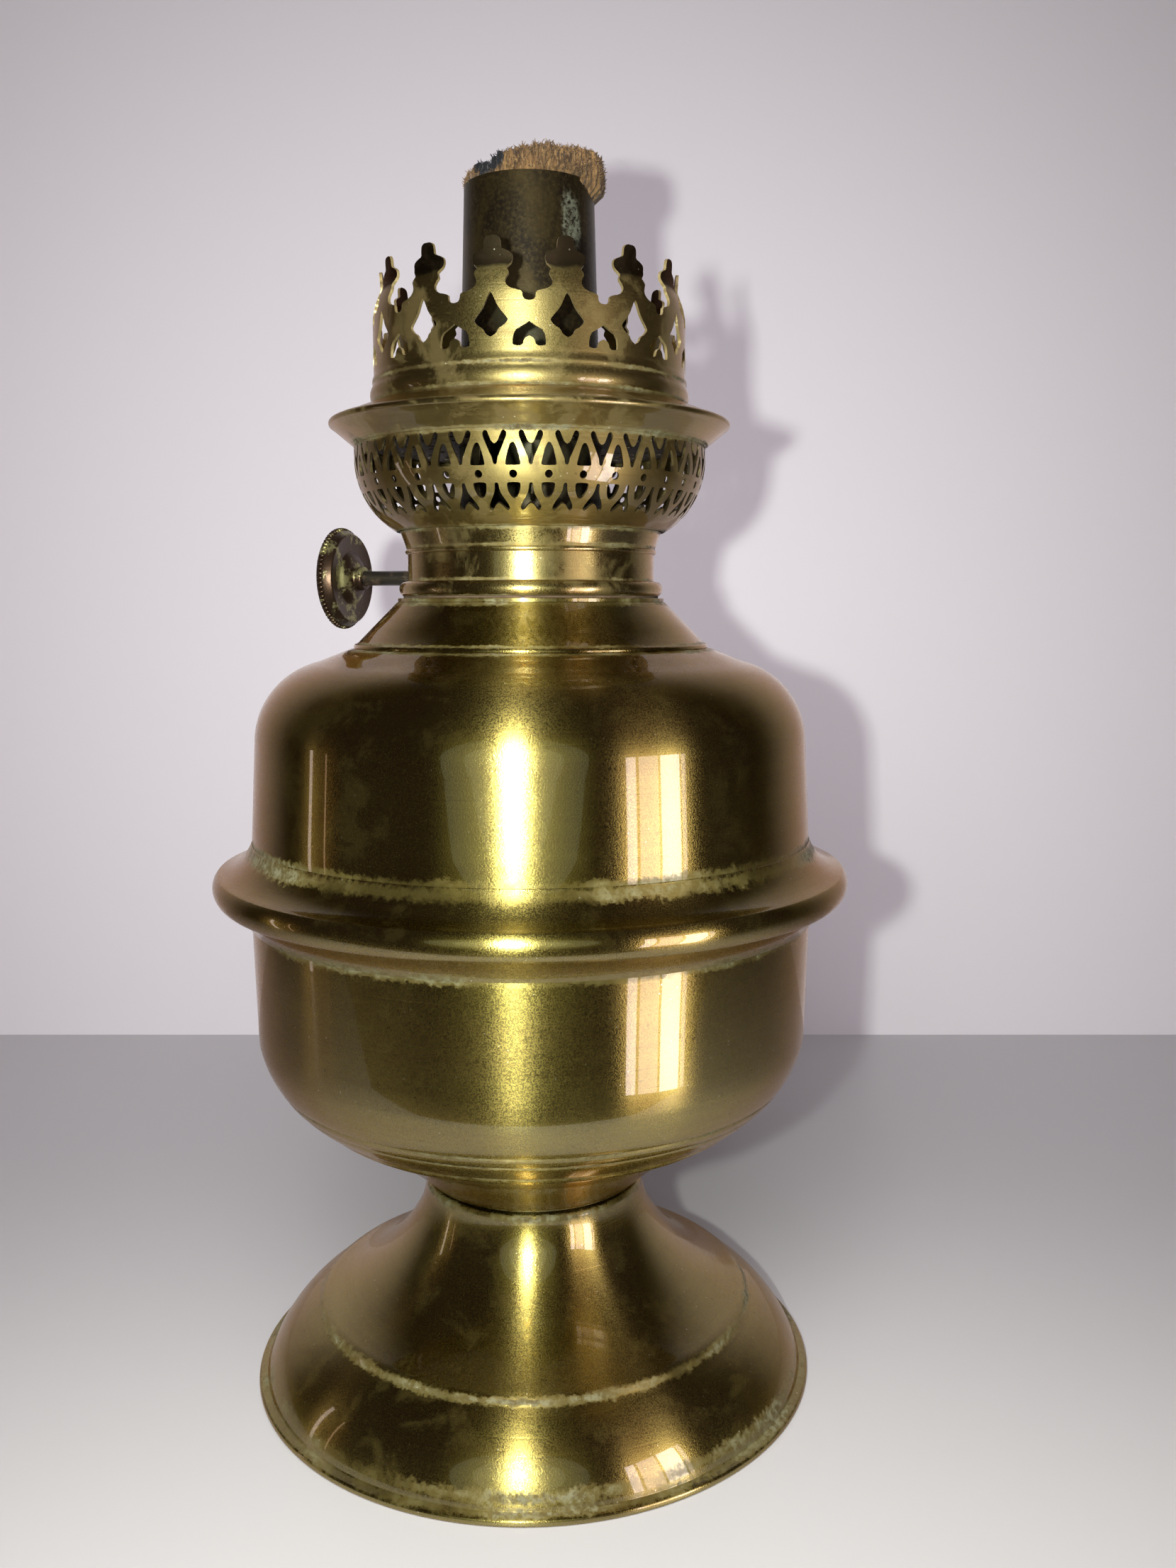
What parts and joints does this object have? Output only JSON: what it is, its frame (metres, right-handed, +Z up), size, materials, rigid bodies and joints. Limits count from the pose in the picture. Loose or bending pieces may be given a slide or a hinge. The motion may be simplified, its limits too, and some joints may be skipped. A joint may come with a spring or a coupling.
{
  "type": "table oil lamp",
  "caption": "Brass table oil lamp on a spun foot: round tank with a moulded band, pierced side-draught burner with a leaved crown, and a ring wick with its winder.",
  "frame": {"origin": "centre of the circle on which the foot rests", "axes": "+Z up along the lamp's axis; the wick winder's knob is on -X, and its shaft lies along X"},
  "size_m": [0.1154, 0.1154, 0.2203],
  "materials": {
    "old_brass": "old polished brass, brown in the hollows, fine turning lines",
    "dull_brass": "dull unpolished brass",
    "heat_brass": "brass darkened by heat, dark brown with pale green patches",
    "winder_steel": "dark oxidised steel",
    "knob_brass": "dark brown oxidised brass with yellow-green patches",
    "cotton": "tan woven cotton, frayed and charred at the top",
    "sealing_cork": "dark pressed cork and rubber"
  },
  "bodies": {
    "lamp": {"foot_shell": "old_brass", "foot_stud": "winder_steel", "foot_clamp_disc": "winder_steel", "foot_lock_washer": "winder_steel", "foot_nut": "winder_steel", "tank_lower_shell": "old_brass", "tank_band": "old_brass", "tank_upper_shell": "old_brass", "shoulder_cone": "old_brass", "thread_collar": "old_brass"},
    "washer": {"burner_washer": "sealing_cork"},
    "burner": {"thread_ring": "dull_brass", "base_plate": "dull_brass", "neck_band": "old_brass", "shaft_bush": "dull_brass", "winder_bracket": "dull_brass", "air_basket": "old_brass", "gallery_rim": "old_brass", "air_sieve": "dull_brass", "chimney_ledge": "dull_brass", "crown": "old_brass", "wick_tube": "heat_brass", "draft_tube": "heat_brass", "air_duct": "heat_brass"},
    "wick": {"wick": "cotton"},
    "winder": {"winder_shaft": "winder_steel", "winder_knob": "knob_brass", "wick_wheels": "winder_steel", "wheel_spacer": "dull_brass"}
  },
  "joints": [
    {"name": "burner_turn", "type": "hinge", "parent": "lamp", "child": "washer", "pos_m": [0, 0, 0.1454], "axis": [0, 0, 1], "range_deg": [0, 720.5]},
    {"name": "burner_lift", "type": "slide", "parent": "washer", "child": "burner", "axis": [0, 0, 1], "range_m": [0, 0.005]},
    {"name": "winder_turn", "type": "hinge", "parent": "burner", "child": "winder", "pos_m": [0, 0.0155, 0.1493], "axis": [-1, 0, 0], "range_deg": [-177, 67]},
    {"name": "wick_slide", "type": "slide", "parent": "burner", "child": "wick", "axis": [0, 0, 1], "range_m": [-0.008, 0.003]}
  ],
  "couplings": [
    {"joint": "burner_turn", "follows": "burner_lift", "rad_per_m": 2513.3},
    {"joint": "winder_turn", "follows": "wick_slide", "rad_per_m": 384.62}
  ]
}
